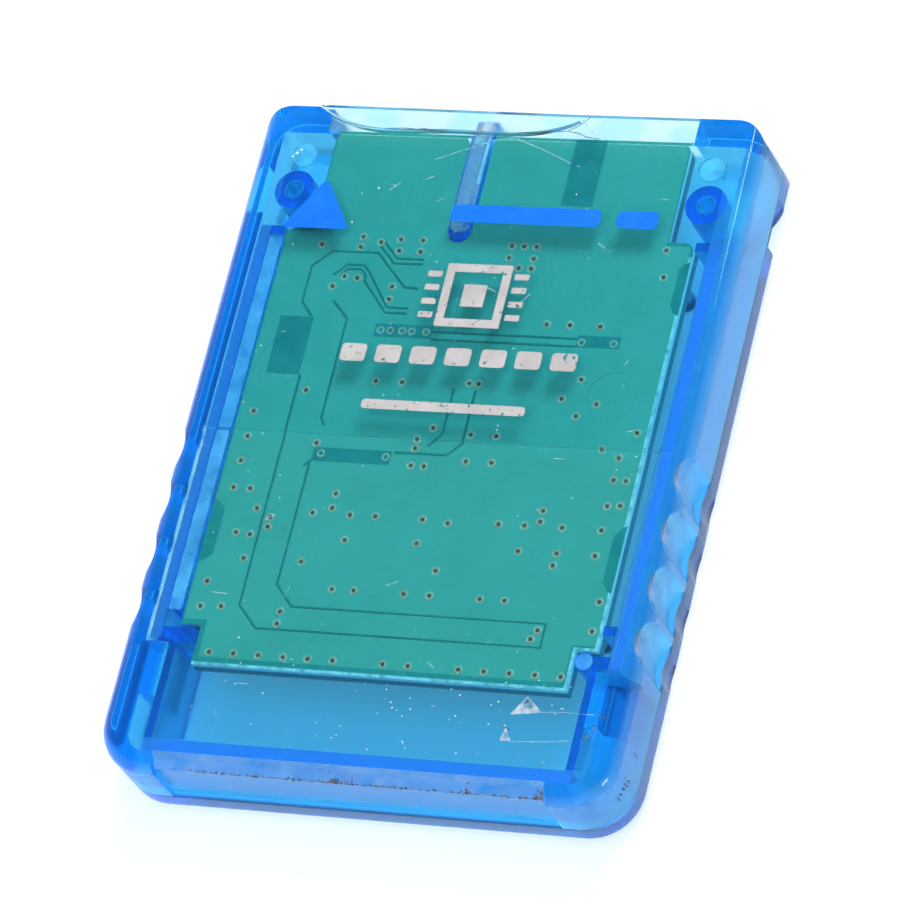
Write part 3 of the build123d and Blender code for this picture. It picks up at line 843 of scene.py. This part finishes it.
pocketDirt = {
    "seed": 3,
    "bevelTop": (-26.82, 7.805),
    "bevelFoot": (-27.865, 6.75),
    "half": 15.85,
    "filmLift": (0, -0.006, 0.006),
    "footCount": 260,
    "footStart": -13.0,
    "footSpread": 0.06,
    "footSizes": (0.04, 0.12),
    "heapSpread": (0.2, 0.35),
    "heapSizes": (0.05, 0.14),
    "spotFlecks": 4,
    "spotSpread": 0.2,
    "spotSizes": (0.06, 0.15),
    "spotTurn": 0.8,
    "heaps": [(-0.9, 18), (0.2, 12), (9.7, 12), (15.6, 40)],
    "cornerSpots": [(20.43, -26.36, 4.49), (20.6, -26.05, 4.7), (20.76, -25.67, 4.87), (20.86, -25.34, 4.61),
                    (20.94, -24.99, 4.74), (21.0, -22.89, 4.74)],
}


def pocketGrime():
    # dull film on the pocket's bevel, and dirt packed along its foot
    topY, topZ = pocketDirt["bevelTop"]
    footY, footZ = pocketDirt["bevelFoot"]
    half = pocketDirt["half"]
    bm = bmesh.new()
    addSheet(bm, [(-half, topY, topZ), (half, topY, topZ), (half, footY, footZ), (-half, footY, footZ)],
             pocketDirt["filmLift"])
    dull = faded("pocketFilm", (0.45, 0.7, 1.0),
                 roughness=0.6, perMetre=900.0, low=0.3, high=0.8, most=0.22)
    addPiece("pocketFilm", bm, "pale_ceramic", dull)
    spread = random.Random(pocketDirt["seed"])
    bm = bmesh.new()
    for number in range(pocketDirt["footCount"]):
        x = spread.uniform(pocketDirt["footStart"], half)
        y = footY + abs(spread.gauss(0, pocketDirt["footSpread"]))
        size = spread.uniform(*pocketDirt["footSizes"])
        addFleck(bm, (x, y, footZ + y - footY), size, spread.uniform(0, math.pi))
    sideways, upwards = pocketDirt["heapSpread"]
    for middle, count in pocketDirt["heaps"]:
        for number in range(count):
            x = min(half, spread.gauss(middle, sideways))
            y = footY + abs(spread.gauss(0, upwards))
            size = spread.uniform(*pocketDirt["heapSizes"])
            addFleck(bm, (x, y, footZ + y - footY), size, spread.uniform(0, math.pi))
    for x, y, z in pocketDirt["cornerSpots"]:
        for number in range(pocketDirt["spotFlecks"]):
            level = z + spread.gauss(0, pocketDirt["spotSpread"])
            size = spread.uniform(*pocketDirt["spotSizes"])
            addFleck(bm, (x, y, level), size, pocketDirt["spotTurn"])
    dirt = speckled("packedDirt", (0.05, 0.05, 0.055), (0.16, 0.15, 0.15),
                    perMetre=1500.0, roughness=0.8)
    addPiece("packedDirt", bm, "chip_resin", dirt)


dust = {
    "seed": 11,
    "zones": [((-19.0, 19.0), (-26.0, 26.0), 110), ((-14.0, 16.0), (-25.5, -18.5), 80)],
    "sizes": (0.025, 0.075),
    "spots": [((-17.3, 24.1), 0.16), ((-17.0, 24.4), 0.1), ((-17.6, 23.8), 0.1), ((-9.6, 21.3), 0.1)],
    "spotTurn": 0.5,
}


def dustSpecks():
    spread = random.Random(dust["seed"])
    bm = bmesh.new()
    for (left, right), (near, far), count in dust["zones"]:
        for number in range(count):
            place = (spread.uniform(left, right), spread.uniform(near, far), plateTop)
            addFleck(bm, place, spread.uniform(*dust["sizes"]), spread.uniform(0, math.pi))
    for (x, y), size in dust["spots"]:
        addFleck(bm, (x, y, plateTop), size, dust["spotTurn"])
    pale = speckled("dust", (0.75, 0.78, 0.8), (0.95, 0.97, 0.98),
                    perMetre=2000.0, roughness=0.8)
    addPiece("dustSpecks", bm, "pale_ceramic", pale)


groovesAndFilm()
scratches()
pocketGrime()
dustSpecks()
print("wear, dirt and dust laid")

studio = {
    "floorDrop": 0.05 * mm,
    "floorHalf": 1.5,
    "floorColour": (0.92, 0.92, 0.92),
    "floorGlow": 0.6,
    "floorGlowThrough": 0.42,
    "skyHeights": ((0.0, 0.85), (0.32, 0.8), (0.6, 0.12), (1.0, 0.08)),
    "lamps": [
        ("keyBox", (0.20, 0.56, 0.62), 0.36, 4.6, True),
        ("fillBox", (0.08, -0.08, 0.78), 0.6, 5.4, False),
        ("lowGlint", (0.63, -0.29, 0.05), 0.14, 0.8, True),
    ],
    "cameraPlace": (0.19364, -0.18672, 0.39478),
    "cameraRight": (0.91164, 0.22716, -0.34251),
    "cameraUp": (-0.05145, 0.88989, 0.45326),
    "lens": 251.28,
}


def floorFinish():
    material, strand = newMaterial("paleFloor")
    shade = strand.make("BsdfDiffuse", {}, {"Color": (*studio["floorColour"], 1)})
    glow = strand.make("Emission", {}, {"Strength": 1.0})
    camera = strand.make("LightPath", out="Is Camera Ray")
    glossy = strand.make("LightPath", out="Is Glossy Ray")
    through = strand.make("LightPath", out="Is Transmission Ray")
    # a ray that glass passes on counts as glossy too
    seen = (camera + glossy * (1.0 - through)) * studio["floorGlow"] + through * studio["floorGlowThrough"]
    floor = strand.make("MixShader", {}, {0: seen, 1: shade, 2: glow})
    strand.make("OutputMaterial", {}, {"Surface": floor})
    return material


def paleFloor():
    mesh = bpy.data.meshes.new("floor")
    bm = bmesh.new()
    bmesh.ops.create_grid(bm, x_segments=1, y_segments=1, size=studio["floorHalf"])
    bmesh.ops.translate(bm, verts=bm.verts, vec=(0, 0, -studio["floorDrop"]))
    bm.to_mesh(mesh)
    bm.free()
    floor = bpy.data.objects.new("floor", mesh)
    bpy.context.scene.collection.objects.link(floor)
    mesh.materials.append(floorFinish())


def softLight():
    world = bpy.data.worlds.new("studioSky")
    bpy.context.scene.world = world
    world.use_nodes = True
    world.node_tree.nodes.clear()
    strand = Strand(world.node_tree)
    upward = strand.make("SeparateXYZ", {}, {0: strand.make("TexCoord", out="Generated")}, "Z")
    sky = rampOf(strand, upward, *((height, (level,) * 3) for height, level in studio["skyHeights"]))
    strand.make("OutputWorld", {}, {"Surface": strand.make("Background", {}, {"Color": sky})})
    for name, place, size, power, mirrored in studio["lamps"]:
        data = bpy.data.lights.new(name, "AREA")
        data.size = size
        data.energy = power
        lamp = bpy.data.objects.new(name, data)
        lamp.location = place
        lamp.rotation_euler = (-Vector(place)).to_track_quat("-Z", "Y").to_euler()
        # the clear shells pass the lamps' own light on, so the lamps aren't seen through them as well
        lamp.visible_transmission = False
        lamp.visible_glossy = mirrored
        bpy.context.scene.collection.objects.link(lamp)


def photoCamera():
    data = bpy.data.cameras.new("photoCamera")
    data.lens = studio["lens"]
    camera = bpy.data.objects.new("photoCamera", data)
    bpy.context.scene.collection.objects.link(camera)
    right = Vector(studio["cameraRight"]).normalized()
    up = Vector(studio["cameraUp"]).normalized()
    back = right.cross(up)
    turn = Matrix((right, up, back)).transposed().to_4x4()
    camera.matrix_world = Matrix.Translation(studio["cameraPlace"]) @ turn
    bpy.context.scene.camera = camera


paleFloor()
softLight()
photoCamera()
bpy.context.scene.view_settings.view_transform = "Standard"
print("studio ready")
